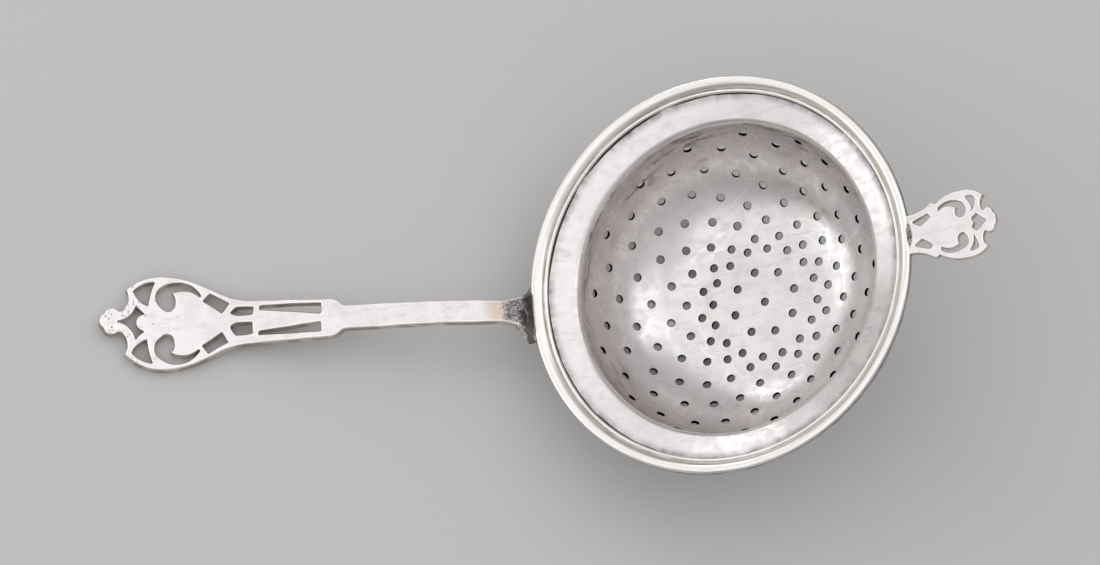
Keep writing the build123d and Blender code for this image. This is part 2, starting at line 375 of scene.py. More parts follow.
hole_table = np.array(holes)
for ring, s in enumerate(np.arange(spacing, net_edge - 0.5 * spacing, spacing)):
    r = bowl_radius(s)
    count = max(6, int(tau * r / spacing))
    for spin in (np.arange(count) + 0.5 * (ring % 2)) * tau / count:
        aside = (spin - hole_table[:, 1] + pi) % tau - pi
        gap = np.hypot(s - hole_table[:, 0], aside * np.minimum(r, hole_table[:, 2]))
        gap[0] = s - hole_table[0, 0]
        if gap.min() > hole_radius + hole_lip + guard_rings[-1] + 0.4 * spacing:
            flat.append((s * cos(spin), s * sin(spin)))
            owner.append(-1)

edges = [(i, (i + 1) % around) for i in range(around)]
for loop in hole_loops:
    edges += [(loop[i], loop[(i + 1) % points_per_hole]) for i in range(points_per_hole)]
_, _, triangles, sources, _, _ = delaunay_2d_cdt([Vector(p) for p in flat], edges, [], 0, 1e-7)
triangles = [tuple(sources[i][0] for i in t) for t in triangles]
net = [t for t in triangles if owner[t[0]] < 0 or len({owner[i] for i in t}) > 1]
print(len(flat), "points,", len(net), "triangles in the pierced net")

# %% [markdown]
# The two sides of the sheet use the same net, one sheet's thickness apart. Each hole then gets
# loops of points that roll over its edge, go down through the metal and roll out underneath.
# The roll is only a tenth of a millimetre, but it is what catches the light round every hole.
# Two numbers travel with the points for the finish to read: `in_hole` marks the walls of the
# holes and `inside` the side that shows.

# %% Both sides, the holes' edges and the flange
wall_step, mouth_rows, flange_step = 0.35, 9, 0.45
rows_at = np.concatenate([
    np.arange(net_edge, bowl_marks[3], wall_step)[1:],
    np.linspace(bowl_marks[3], bowl_marks[4], mouth_rows),
    np.arange(bowl_marks[4], bowl_marks[5], flange_step)[1:],
    [bowl_marks[5]],
])
rows = [list(range(around))]
for s in rows_at:
    rows.append(list(range(len(flat), len(flat) + around)))
    flat += list(zip(s * np.cos(angles), s * np.sin(angles)))
flat = np.array(flat)
under = len(flat)

showing = bowl_surface(flat[:, 0], flat[:, 1])
hidden = bowl_surface(flat[:, 0], flat[:, 1], sheet)
facing = surface_normals(bowl_surface, flat[:, 0], flat[:, 1])
bowl_faces = list(net) + ring_faces(rows[::-1], around)
bowl_faces += [tuple(i + under for i in reversed(face)) for face in bowl_faces]
bowl_faces += ring_faces([[i + under for i in rows[-1]], rows[-1]], around)
bowl_points, bowl_normals = [showing, hidden], [facing, -facing]
in_hole, inside = [np.zeros(2 * under)], [np.ones(under), np.zeros(under)]
total = 2 * under
for hole, loop in zip(holes, hole_loops):
    loops = [list(loop)]
    for roll in (30, 60, 90, 90, 120, 150):
        a = radians(roll)
        depth = hole_lip * (1 - cos(a)) if len(loops) < 4 else sheet - hole_lip * (1 + cos(a))
        x, y = round_hole(hole, hole_radius + hole_lip * (1 - sin(a)), points_per_hole)
        at = bowl_surface(x, y, depth)
        out = surface_normals(bowl_surface, x, y)
        inwards = at.mean(axis=0) - at
        inwards /= np.linalg.norm(inwards, axis=1, keepdims=True)
        bowl_points.append(at)
        bowl_normals.append(out * cos(a) + inwards * sin(a))
        in_hole.append(np.full(points_per_hole, float(30 < roll < 150)))
        inside.append(np.full(points_per_hole, float(roll < 90)))
        loops.append(list(range(total, total + points_per_hole)))
        total += points_per_hole
    loops.append([i + under for i in loop])
    bowl_faces += ring_faces(loops[::-1], points_per_hole)
bowl = make_piece("bowl", np.vstack(bowl_points), bowl_faces, np.vstack(bowl_normals),
                  {"in_hole": np.concatenate(in_hole), "inside": np.concatenate(inside)})

# %% [markdown]
# ## The rim wire
# A drawn wire is soldered onto the flange to stiffen the thin edge. The draw plate gave it a
# narrow bead, a groove and a broad low dome. Its section is turned about the rim's axis, and
# both its height and its radius drift by a few hundredths where it was bent and filed.

# %% The wire's section
wire_width, bead_width = 2.85, 0.68
bead_height, groove_height, dome_height, wire_edge = 0.55, 0.26, 0.82, 0.30


def arc_through(start, middle, end, step):
    """Points along the circle through three points, or along a line if they lie straight."""
    (ax, ay), (bx, by), (cx, cy) = start, middle, end
    twice_area = (bx - ax) * (cy - ay) - (by - ay) * (cx - ax)
    chord = hypot(cx - ax, cy - ay)
    if abs(twice_area) < 1e-3 * chord * chord:
        count = max(1, round(chord / step))
        return [(ax + (cx - ax) * i / count, ay + (cy - ay) * i / count) for i in range(count + 1)]
    b2, c2 = (bx - ax) ** 2 + (by - ay) ** 2, (cx - ax) ** 2 + (cy - ay) ** 2
    ux = ((cy - ay) * b2 - (by - ay) * c2) / (2 * twice_area)
    uy = ((bx - ax) * c2 - (cx - ax) * b2) / (2 * twice_area)
    radius = hypot(ux, uy)
    first = np.arctan2(-uy, -ux)
    sweep = (np.arctan2(cy - ay - uy, cx - ax - ux) - first) % tau
    if twice_area < 0:
        sweep -= tau
    count = max(2, round(abs(sweep) * radius / step))
    turned = first + sweep * np.arange(count + 1) / count
    return list(zip(ax + ux + radius * np.cos(turned), ay + uy + radius * np.sin(turned)))


def path(*points, step=0.25):
    """Arcs through three points each; neighbouring arcs share an end."""
    line = []
    for start, middle, end in zip(points[0::2], points[1::2], points[2::2]):
        line += arc_through(start, middle, end, step)[bool(line):]
    return line


def on_slope(s, t):
    """Radius and height of a point of the wire: s outwards along the flange, t off it."""
    a = flange_slope
    return wire_inner + s * cos(a) - t * sin(a), wire_seat_height + s * sin(a) + t * cos(a)


bead = path((0.0, 0.02), (0.02, 0.36), (bead_width / 2, bead_height), (0.60, 0.42),
            (bead_width + 0.02, groove_height), step=0.09)
dome = path((bead_width + 0.02, groove_height), (0.86, 0.47), (1.15, 0.66), (1.95, dome_height),
            (2.62, 0.62), (wire_width, wire_edge), (wire_width - 0.09, 0.0), step=0.12)
wire_section = np.array(bead + dome[1:] + [(1.9, -0.02), (0.9, -0.02)])


def turned_ring(name, section, wobble, lift, count=360):
    """Turns a closed section about the rim's axis, with its radius and height drifting slightly."""
    spin = np.arange(count) * tau / count
    move = wobble(np.cos(spin) * rim_radius, np.sin(spin) * rim_radius)
    swell = 1 + lift(np.sin(spin) * rim_radius, np.cos(spin) * rim_radius)
    tangent = np.roll(section, -1, axis=0) - np.roll(section, 1, axis=0)
    points, normals = [], []
    for (s, t), (ds, dt) in zip(section, tangent):
        radius, height = on_slope(s, t * swell)
        nr, nz = np.array(on_slope(-dt, ds)) - np.array(on_slope(0, 0))
        radius = np.minimum(radius + move, rim_radius)
        points.append(from_rim(radius * np.cos(spin), radius * np.sin(spin), height * np.ones(count)))
        normals.append(np.multiply.outer(np.cos(spin) * nr, rim_out)
                       + np.multiply.outer(np.sin(spin) * nr, rim_side) + nz * rim_up)
    rows = [range(i * count, (i + 1) * count) for i in range(len(section))]
    faces = ring_faces((rows + rows[:1])[::-1], count)
    return make_piece(name, np.vstack(points), faces, np.vstack(normals))


wire = turned_ring("wire", wire_section, uneven(5, 8, 60, 14, 0.03), uneven(6, 9, 50, 9, 0.03))

# %% [markdown]
# The solder that holds the wire shows only as a thin dark line in the corner, a little wider in
# some places than in others. It is a narrow ring whose height swells and shrinks.

# %% The solder seam under the wire
seam_section = np.array([(-0.26, 0.0), (-0.12, 0.05), (-0.02, 0.12), (0.03, 0.24), (0.2, 0.1),
                         (0.1, -0.05)])
seam = turned_ring("seam", seam_section, uneven(8, 10, 30, 5, 0.04), uneven(9, 12, 20, 3, 0.18))

# %% [markdown]
# ## A tool for sawn plates
# Both handles are cut from plate with a piercing saw, and their edges are worn soft. One tool
# makes both. It fills an outline with triangles, leaves the openings free, and puts extra
# points just inside every edge, so that the faces can roll over the edge in a small radius.
# The distance to the nearest edge gives both the height of the roll and the way it faces.


# %% Distances and insides
def segments_of(loops):
    """The two ends of every segment of closed loops."""
    starts = np.vstack([np.array(loop) for loop in loops])
    ends = np.vstack([np.roll(np.array(loop), -1, axis=0) for loop in loops])
    return starts, ends


def nearest_edge(points, starts, ends):
    """Distance to the closest segment, and the direction towards it."""
    best = np.full(len(points), 1e9)
    way = np.zeros((len(points), 2))
    for a, b in zip(starts, ends):
        along = b - a
        t = np.clip(((points - a) @ along) / (along @ along), 0, 1)
        to = a + t[:, None] * along - points
        gap = np.hypot(to[:, 0], to[:, 1])
        closer = gap < best
        best[closer], way[closer] = gap[closer], to[closer]
    return best, way / np.maximum(best, 1e-9)[:, None]


def is_metal(points, starts, ends):
    """Whether each point is inside the outline and outside the openings."""
    crossings = np.zeros(len(points), int)
    for (ax, ay), (bx, by) in zip(starts, ends):
        if ay != by:
            spans = (points[:, 1] >= min(ay, by)) & (points[:, 1] < max(ay, by))
            at = ax + (points[:, 1] - ay) * (bx - ax) / (by - ay)
            crossings += spans & (at > points[:, 0])
    return crossings % 2 == 1


def tidy_loop(points):
    """A closed loop without doubled points, running anticlockwise."""
    before = points[-1:] + points[:-1]
    loop = [p for p, q in zip(points, before) if hypot(p[0] - q[0], p[1] - q[1]) > 0.02]
    area = sum(a[0] * b[1] - b[0] * a[1] for a, b in zip(loop, loop[1:] + loop[:1]))
    return loop if area > 0 else loop[::-1]


# %% The plate itself
edge_rings = (0.08, 0.29, 0.62, 1.0, 1.6)  # rows of points inside an edge, as shares of its rounding


def sawn_plate(name, outline, openings, place, thickness, edge_round, grid):
    """A pierced plate: place(u, v, w) bends it into position, w being off its middle surface."""
    loops = [tidy_loop(outline)] + [tidy_loop(o)[::-1] for o in openings]
    starts, ends = segments_of(loops)
    forward = np.vstack([np.roll(l, -1, axis=0) - np.roll(l, 1, axis=0) for l in map(np.array, loops)])
    outward = np.stack([forward[:, 1], -forward[:, 0]], axis=1)
    outward /= np.linalg.norm(outward, axis=1, keepdims=True)
    lines, first = [], 0
    for loop in loops:
        lines += [(first + i, first + (i + 1) % len(loop)) for i in range(len(loop))]
        first += len(loop)
    kept = []
    for reach in edge_round * np.array(edge_rings):
        points = starts - outward * reach
        gap, _ = nearest_edge(points, starts, ends)
        kept.append(points[is_metal(points, starts, ends) & (gap > 0.85 * reach)])
    low, high = starts.min(axis=0), starts.max(axis=0)
    u, v = np.meshgrid(np.arange(low[0], high[0], grid), np.arange(low[1], high[1], grid * 0.87))
    u[1::2] += grid / 2
    fill = np.stack([u.ravel(), v.ravel()], axis=1)
    fill = fill[is_metal(fill, starts, ends)]
    fill = fill[nearest_edge(fill, starts, ends)[0] > edge_rings[-1] * edge_round + 0.4 * grid]
    flat = np.vstack([starts] + kept + [fill])
    _, _, found, sources, _, _ = delaunay_2d_cdt([Vector(p) for p in flat], lines, [], 0, 1e-6)
    found = np.array([[sources[i][0] for i in t] for t in found])
    found = found[is_metal(flat[found].mean(axis=1), starts, ends)]

    gap, way = nearest_edge(flat, starts, ends)
    way[: len(starts)] = outward
    gap[: len(starts)] = 0
    lean_out = np.clip(1 - gap / edge_round, 0, 1)
    drop = edge_round * (1 - np.sqrt(1 - lean_out**2))
    u, v = flat[:, 0], flat[:, 1]
    step = 0.05
    along_u = place(u + step, v, 0 * u) - place(u - step, v, 0 * u)
    along_v = place(u, v + step, 0 * u) - place(u, v - step, 0 * u)
    along_u /= np.linalg.norm(along_u, axis=1, keepdims=True)
    along_v /= np.linalg.norm(along_v, axis=1, keepdims=True)
    off = np.cross(along_u, along_v)
    points, normals = [], []
    for side in (1, -1):
        points.append(place(u, v, side * (thickness / 2 - drop)))
        normals.append((along_u * way[:, :1] + along_v * way[:, 1:]) * lean_out[:, None]
                       + off * (side * np.sqrt(1 - lean_out**2))[:, None])
    faces = [tuple(t) for t in found] + [tuple(i + len(flat) for i in t[::-1]) for t in found]
    faces += [(b, a, a + len(flat), b + len(flat)) for a, b in lines]
    edge = np.tile(np.clip(1 - gap / (2.2 * edge_round), 0, 1), 2)
    return make_piece(name, np.vstack(points), faces, np.vstack(normals), {"edge": edge})


# %% [markdown]
# ## The long handle
# The bar rises steeply from the rim, turns over a tight neck, falls away in one long straight
# and curls up a little at its end. `walk` follows that line seen from the side. The bar was
# soldered on a few degrees out of line and leans on the table near its tip.

# %% The handle's bend
strap = 2.0
handle_askew, handle_root = radians(4.8), -0.8
neck_rise, neck_length, neck_radius = radians(40.0), 2.6, 2.0
crest_slope, back_slope, back_radius = radians(1.0), radians(14.5), 75.0
end_radius, end_turn = 60.0, radians(26.0)

foot_out, foot_up = 0.35, -0.6
neck_start = (
    foot_out * cos(lean) + foot_up * sin(lean),
    rim_centre[2] - (rim_radius + foot_out) * sin(lean) + foot_up * cos(lean),
)
bend_parts = [
    (neck_length, 0),
    (neck_radius * (neck_rise + crest_slope), -neck_rise - crest_slope),
    (back_radius * (back_slope - crest_slope), crest_slope - back_slope),
]
so_far = sum(length for length, _ in bend_parts)
_, (straight_from,), _ = walk(neck_start, neck_rise, bend_parts, np.array([so_far]))
rest_height = strap / 2 + end_radius * (1 - cos(back_slope))
bend_parts += [((straight_from - rest_height) / sin(back_slope), 0), (end_radius * end_turn, end_turn)]

bar_distance = np.linspace(-3, 90, 4000)
bar_reach = walk(neck_start, neck_rise, bend_parts, bar_distance)[0]
handle_dir = np.array([-cos(handle_askew), sin(handle_askew), 0])
handle_across = np.array([-sin(handle_askew), -cos(handle_askew), 0])
handle_foot = np.array([rim_centre[0] - rim_radius * cos(lean), handle_root, 0])
bar_rise = uneven(21, 9, 22.0, 6.0, 0.025)


def place_handle(u, v, w):
    """u along the handle seen from above, v across it, w off the bar's middle surface."""
    reach, height, angle = walk(neck_start, neck_rise, bend_parts, np.interp(u, bar_reach, bar_distance))
    w = w + bar_rise(u, v)
    u, height = reach - np.sin(angle) * w, height + np.cos(angle) * w
    flat_place = handle_foot + np.multiply.outer(u, handle_dir) + np.multiply.outer(v, handle_across)
    return (flat_place + np.multiply.outer(height, [0, 0, 1])) * MM


tip = place_handle(np.array([73.2]), np.zeros(1), np.zeros(1)) / MM
print("handle tip at", tip.round(1))

# %% [markdown]
# The pattern is a shield on its side between two scrolls, with a row of plain openings towards
# the shank. It was drawn once and folded over, then sawn by hand, so the two halves nearly
# match: an opening may sit a little higher or be a little wider than its partner. Each shape is
# drawn for one half. `low` and `high` move its inner and outer side.

# %% The handle's outline and openings
handle_half = path((73.2, 0), (72.95, 0.8), (72.35, 1.35), (71.4, 2.35), (70.1, 2.0), (69.6, 1.88),
                   (69.15, 2.15), (68.3, 3.8), (68.75, 5.65), (66.5, 7.35), (62.3, 8.3), (59.2, 7.9),
                   (56.1, 6.85), (54.05, 5.925), (52.0, 5.0), (49.6, 4.12), (46.6, 3.8), (40.2, 3.57),
                   (33.9, 3.35), (32.7, 2.95), (31.9, 2.3), (31.5, 2.12), (30.9, 2.1), (18.4, 2.03),
                   (5.9, 1.95), (2.2, 2.8), (0.05, 4.8))
wing = path((67.45, 5.45), (66.0, 6.55), (63.85, 7.1), (64.55, 5.1), (64.95, 3.0), (66.4, 3.9),
            (67.45, 5.45))
scroll = path((55.9, 4.95), (59.2, 7.1), (62.6, 6.2), (63.6, 4.3), (62.6, 2.6), (61.2, 2.1), (60.3, 3.3),
              (60.3, 4.3), (60.9, 5.2), (58.5, 5.75), (56.1, 4.65), (55.85, 4.7), (55.9, 4.95))
slanting = path((54.35, 5.2), (52.7, 4.3), (51.05, 3.4), (51.6, 2.5), (52.15, 1.65), (53.8, 2.8),
                (55.45, 3.9), (54.9, 4.55), (54.35, 5.2))
pointed = path((50.7, 1.0), (50.25, 1.72), (49.7, 2.3), (48.3, 2.26), (46.9, 2.15), (46.93, 1.3),
               (47.0, 0.47), (48.3, 0.43), (49.6, 0.43), (50.2, 0.66), (50.7, 1.0))
tapering = path((45.5, 2.0), (40.5, 1.4), (35.45, 0.8), (35.4, 1.65), (35.45, 2.5), (40.5, 2.6),
                (45.5, 2.65), (45.85, 2.33), (45.5, 2.0))
end_half = path((70.1, 0), (67.9, 1.15), (66.9, 2.88), (66.2, 2.2), (65.45, 1.55), (66.5, 1.0), (66.9, 0))


def other_half(points):
    """The same line folded over the middle, running on from where it ended."""
    return [(u, -v) for u, v in reversed(points)]


def moved(points, low, high):
    """A copy of an opening with its inner side moved by low and its outer side by high."""
    v = np.array(points)[:, 1]
    share = (v - v.min()) / (v.max() - v.min())
    return [(u, b + low + (high - low) * s) for (u, b), s in zip(points, share)]


saw_slips = (  # how far the inner and outer side moved, on the near half and then on the far half
    (wing, (0.0, 0.0), (0.05, 0.0)),
    (scroll, (0.0, 0.0), (0.1, -0.03)),
    (slanting, (0.0, 0.05), (0.08, 0.0)),
    (pointed, (-0.36, -0.12), (0.85, 0.35)),
    (tapering, (-0.16, -0.28), (0.1, 0.12)),
)
saw = uneven(31, 10, 9.0, 2.5, 0.035)


def by_hand(points):
    """The line the saw really took: a few hundredths off the drawn one."""
    return [(u + float(saw(u, v)), v + float(saw(v + 40, u))) for u, v in points]


handle_openings = [by_hand(end_half + other_half(end_half))]
for shape, near, far in saw_slips:
    handle_openings.append(by_hand(moved(shape, *near)))
    handle_openings.append(by_hand(other_half(moved(shape, *far))))
handle = sawn_plate("handle", by_hand(handle_half + other_half(handle_half)), handle_openings,
                    place_handle, strap, 0.30, 0.7)

# %% [markdown]
# ## The tab handle
# The short tab opposite repeats the pattern at a smaller size. It lies in the rim's own plane,
# so it is placed with the rim's directions.

# %% The tab
tab_thickness, tab_height = 1.2, -0.15
tab_half = path((49.2, 0), (49.1, 0.75), (48.75, 1.3), (48.1, 2.1), (47.2, 1.75), (46.7, 2.9), (47.5, 4.3),
                (45.8, 5.5), (43.4, 5.8), (41.1, 5.45), (38.95, 4.38), (38.4, 4.72), (37.8, 4.55),
                (36.0, 3.62), (34.2, 3.3), (33.9, 3.3), (33.6, 3.3), step=0.2)
tab_root = path((34.8, 2.0), (36.1, 2.5), (37.45, 2.98), (37.7, 2.7), (37.9, 2.43), (37.05, 1.75),
                (36.2, 1.15), (35.5, 1.55), (34.8, 2.0), step=0.2)
tab_scroll = path((39.4, 3.55), (41.6, 4.35), (43.6, 3.75), (44.1, 2.6), (43.4, 1.4), (42.5, 1.85),
                  (42.6, 3.1), (41.0, 3.6), (39.4, 3.1), (39.35, 3.32), (39.4, 3.55), step=0.2)
tab_wing = path((44.2, 4.6), (45.2, 4.62), (45.85, 4.1), (45.6, 3.1), (45.15, 2.15), (44.9, 3.5),
                (44.2, 4.6), step=0.2)
tab_end = path((47.4, 0), (46.6, 0.7), (45.8, 1.45), (45.38, 1.12), (44.95, 0.8), (45.15, 0.4),
               (45.35, 0), step=0.2)
tab_rise = uneven(23, 7, 12.0, 4.0, 0.02)


def place_tab(u, v, w):
    """u outwards from the rim's axis, v sideways, w off the plate's middle surface."""
    return from_rim(u, v, tab_height + w + tab_rise(u, v))


tab_openings = [by_hand(tab_end + other_half(tab_end))]
for shape in (tab_root, tab_scroll, tab_wing):
    tab_openings += [by_hand(shape), by_hand(other_half(shape))]
tab = sawn_plate("tab", by_hand(tab_half + other_half(tab_half)), tab_openings,
                 place_tab, tab_thickness, 0.24, 0.5)

# %% [markdown]
# ## Solder at the handles
# Where the handles meet the rim the solder has run into lumps, and nobody filed it clean. Each
# lump is a fillet turned a few degrees round the rim, thinned out at its two ends and made
# rough with waves of a few millimetres and less.


# %% Lumps of solder
def solder_lump(name, section, middle, half, seed, roughness):
    """A fillet between rim and handle: section gives radius and height, angles are in degrees."""
    section = np.array(section)
    heart = np.array([33.85, -0.15])  # inside the wire: the ends thin out towards it
    count = 72
    turned = radians(middle) + np.linspace(-1, 1, count) * radians(half)
    bumps, grain = uneven(seed, 12, 3.0, 0.9, roughness), uneven(seed + 1, 16, 0.8, 0.3, roughness * 0.35)
    rows, points = [], []
    for number, a in enumerate(turned):
        slim = 1 - (abs(number - (count - 1) / 2) / ((count - 1) / 2)) ** 2.0
        ring = heart + (section - heart) * max(slim, 0.02)
        around_it = a * rim_radius
        for k, (r, z) in enumerate(ring):
            push = (bumps(around_it, k * 0.7) + grain(around_it, k * 0.5)) * slim
            d = (ring[k] - heart) / (np.linalg.norm(ring[k] - heart) + 1e-6)
            r, z = r + d[0] * push, z + d[1] * push
            points.append(from_rim(r * cos(a), r * sin(a), z))
        rows.append(list(range(number * len(section), (number + 1) * len(section))))
    faces = ring_faces(rows, len(section)) + [tuple(rows[0]), tuple(reversed(rows[-1]))]
    points = np.array(points)
    normals = np.zeros(points.shape)
    for face in faces:  # a point faces the way its faces do on average
        a, b, c = points[face[0]], points[face[1]], points[face[2]]
        for i in face:
            normals[i] += np.cross(b - a, c - a) * 1e6
    normals += 1e-9
    return make_piece(name, points, faces, normals)


handle_angle = 180 - np.degrees(handle_root / rim_radius)
handle_lump = solder_lump("handle_lump", path((33.6, -1.3), (34.2, -1.55), (34.8, -1.2), (35.5, -0.5),
                          (35.6, 0.7), (35.1, 0.95), (34.4, 0.6), (33.9, 0.45), (33.6, 0.2), step=0.25),
                          handle_angle, 9.4, 41, 0.05)
tab_lump = solder_lump("tab_lump", path((33.6, -1.1), (34.1, -1.2), (34.5, -0.9), (34.75, -0.1),
                       (34.5, 0.6), (34.1, 0.72), (33.7, 0.65), step=0.22), 0.0, 6.2, 43, 0.03)

# %% [markdown]
# ## Helpers for finishes
# Materials are nets of nodes. These helpers add a node, set it and connect it in one line, so
# that each finish below reads as a recipe. `coat` lays tones over a colour one after another,
# the way a painter lays glazes. `new_group` makes a node group with named sockets, and `use`
# places it in a material with its own values.


# %% Node helpers
def feed(tree, value, socket):
    """Connects an output to a socket, or sets the socket to a plain value."""
    if isinstance(value, bpy.types.NodeSocket):
        tree.links.new(value, socket)
    else:
        socket.default_value = value


def add(tree, kind, values=(), **settings):
    """A new node with its settings and input values; returns the node."""
    made = tree.nodes.new(kind)
    for name, setting in settings.items():
        setattr(made, name, setting)
    for place, value in dict(values).items():
        feed(tree, value, made.inputs[place])
    return made


def maths(tree, operation, a, b=0.0, clamp=False):
    """One sum on two values; times, plus and minus below are the usual ones."""
    return add(tree, "ShaderNodeMath", {0: a, 1: b}, operation=operation, use_clamp=clamp).outputs[0]


def times(tree, a, b, clamp=False):
    return maths(tree, "MULTIPLY", a, b, clamp)


def plus(tree, a, b, clamp=False):
    return maths(tree, "ADD", a, b, clamp)


def minus(tree, a, b):
    return maths(tree, "SUBTRACT", a, b)


def between(tree, value, low, high, to_low=0.0, to_high=1.0):
    """Runs smoothly from to_low to to_high while value goes from low to high."""
    values = {"Value": value, "From Min": low, "From Max": high, "To Min": to_low, "To Max": to_high}
    return add(tree, "ShaderNodeMapRange", values, interpolation_type="SMOOTHSTEP").outputs["Result"]


def noise(tree, vector, scale, detail=3.0, roughness=0.55, distortion=0.0):
    """Cloudy noise over a vector; scale is in clouds to the millimetre."""
    values = {"Vector": vector, "Scale": scale, "Detail": detail, "Roughness": roughness,
              "Distortion": distortion}
    return add(tree, "ShaderNodeTexNoise", values).outputs["Fac"]


def carried(tree, label):
    """A number that the mesh carries at its points."""
    return add(tree, "ShaderNodeAttribute", attribute_name=label).outputs["Fac"]


def mix_colours(tree, share, a, b):
    """Colour a, turning into b as share grows; a plain colour is three numbers."""
    a, b = ((*c, 1) if isinstance(c, tuple) else c for c in (a, b))
    return add(tree, "ShaderNodeMix", {0: share, 6: a, 7: b}, data_type="RGBA").outputs[2]


def coat(tree, colour, *layers):
    """Lays tones over a colour in turn; a layer is its mask, its strength and its tone."""
    for mask, strength, tone in layers:
        colour = mix_colours(tree, times(tree, mask, strength), colour, tone)
    return colour


def new_group(name, inputs, outputs):
    """An empty node group with named sockets; an input is (name, kind, first value)."""
    tree = bpy.data.node_groups.new(name, "ShaderNodeTree")
    for label, kind, value in inputs:
        socket = tree.interface.new_socket(label, in_out="INPUT", socket_type="NodeSocket" + kind)
        if value is not None:
            socket.default_value = value
    for label, kind in outputs:
        tree.interface.new_socket(label, in_out="OUTPUT", socket_type="NodeSocket" + kind)
    return tree, tree.nodes.new("NodeGroupInput").outputs, tree.nodes.new("NodeGroupOutput").inputs


def use(tree, group, **values):
    """Places a group; underscores in the names stand for spaces. Returns its outputs."""
    made = tree.nodes.new("ShaderNodeGroup")
    made.node_tree = group
    for name, value in values.items():
        feed(tree, value, made.inputs[name.replace("_", " ")])
    return made.outputs


# %% [markdown]
# ## Places on the strainer
# Polish, dirt and tarnish all follow the rim: lines run round it, grime sits in its corner. So
# the first group gives a finish its place in millimetres about the rim's axis. `Ring` is a
# vector for textures that run round: it hardly changes along a circle and changes fast across.

# %% Group: place about the rim
rim_place, gin, gout = new_group(
    "place_about_the_rim",
    [("Stretch", "Float", 0.1)],
    [("Point", "Vector"), ("Ring", "Vector"), ("Radius", "Float"), ("Height", "Float"), ("Out", "Float")],
)
where = add(rim_place, "ShaderNodeTexCoord").outputs["Object"]
turn_back = add(rim_place, "ShaderNodeMapping", {
    "Vector": where, "Location": Vector(rim_centre) * MM, "Rotation": (0, -lean, 0), "Scale": (MM, MM, MM),
}, vector_type="TEXTURE").outputs[0]
split = add(rim_place, "ShaderNodeSeparateXYZ", {0: turn_back}).outputs
level = add(rim_place, "ShaderNodeCombineXYZ", {0: split["X"], 1: split["Y"]}).outputs[0]
radius = add(rim_place, "ShaderNodeVectorMath", {0: level}, operation="LENGTH").outputs["Value"]
round_it = add(rim_place, "ShaderNodeVectorMath", {0: level}, operation="NORMALIZE").outputs[0]
slow = add(rim_place, "ShaderNodeVectorMath", {0: round_it, "Scale": gin["Stretch"]}, operation="SCALE")
slow = add(rim_place, "ShaderNodeSeparateXYZ", {0: slow.outputs[0]}).outputs
across = minus(rim_place, radius, split["Z"])
ring = add(rim_place, "ShaderNodeCombineXYZ", {0: slow["X"], 1: slow["Y"], 2: across}).outputs[0]
for label, value in (("Point", turn_back), ("Ring", ring), ("Radius", radius), ("Height", split["Z"]),
                     ("Out", split["X"])):
    feed(rim_place, value, gout[label])

# %% [markdown]
# ## Marks on the metal
# Five kinds of mark turn up on silver, and each is a group: the fine lines that polishing
# leaves, the short stray scratches of use, thin lines that wander, soft stains, and pits left by
# the solder or the casting. They only put out masks; each finish decides what a mask does.

# %% Groups: polishing lines and scratches
polish_lines, gin, gout = new_group(
    "polishing_lines", [("Vector", "Vector", None), ("Fineness", "Float", 6.0), ("Gaps", "Float", 0.45)],
    [("Lines", "Float"), ("Streaks", "Float")],
)
fine = noise(polish_lines, gin["Vector"], gin["Fineness"], 4.0, 0.7)
coarse_scale = times(polish_lines, gin["Fineness"], 0.23)
coarse = noise(polish_lines, gin["Vector"], coarse_scale, 2.0, 0.6)
feed(polish_lines, fine, gout["Lines"])
dark = between(polish_lines, fine, 0.52, 0.60)
broken = between(polish_lines, coarse, gin["Gaps"], plus(polish_lines, gin["Gaps"], 0.2))
feed(polish_lines, times(polish_lines, dark, broken), gout["Streaks"])

scratches, gin, gout = new_group(
    "stray_scratches", [("Vector", "Vector", None), ("Size", "Float", 1.0), ("Amount", "Float", 0.5)],
    [("Mask", "Float")],
)
marks = []
for number, spin in enumerate((0.3, 1.25, 2.1, 2.75)):
    laid = add(scratches, "ShaderNodeMapping", {
        "Vector": gin["Vector"], "Location": (7.0 * number, 3.0, 0), "Rotation": (0, 0, spin),
        "Scale": (0.16, 1.9, 0.6),
    }).outputs[0]
    line = noise(scratches, laid, maths(scratches, "DIVIDE", 2.4, gin["Size"]), 1.0, 0.3, 0.35)
    line = maths(scratches, "ABSOLUTE", minus(scratches, line, 0.5))
    thin = between(scratches, line, 0.0, 0.012, 1.0, 0.0)
    here = noise(scratches, laid, 0.55, 2.0, 0.5)
    start = minus(scratches, 0.8, times(scratches, gin["Amount"], 0.35))
    here = between(scratches, here, start, plus(scratches, start, 0.06))
    marks.append(times(scratches, thin, here))
most = maths(scratches, "MAXIMUM", maths(scratches, "MAXIMUM", marks[0], marks[1]),
             maths(scratches, "MAXIMUM", marks[2], marks[3]))
feed(scratches, most, gout["Mask"])

# %% [markdown]
# A line that wanders is where a slow noise passes through its middle value: the distance from
# that value, cut off early, leaves a thin band that winds and closes on itself. A second noise
# lets the band show only here and there.

# %% Group: wandering lines
wander, gin, gout = new_group(
    "wandering_lines", [("Vector", "Vector", None), ("Size", "Float", 5.0), ("Width", "Float", 0.02),
                        ("Share", "Float", 0.5)], [("Mask", "Float")],
)
level = noise(wander, gin["Vector"], maths(wander, "DIVIDE", 1.0, gin["Size"]), 1.0, 0.4, 0.6)
off_line = maths(wander, "ABSOLUTE", minus(wander, level, 0.5))
line = between(wander, off_line, 0.0, gin["Width"], 1.0, 0.0)
there = noise(wander, gin["Vector"], maths(wander, "DIVIDE", 0.8, gin["Size"]), 2.0, 0.5)
limit = minus(wander, 0.75, times(wander, gin["Share"], 0.5))
shown = between(wander, there, limit, plus(wander, limit, 0.1))
feed(wander, times(wander, line, shown), gout["Mask"])

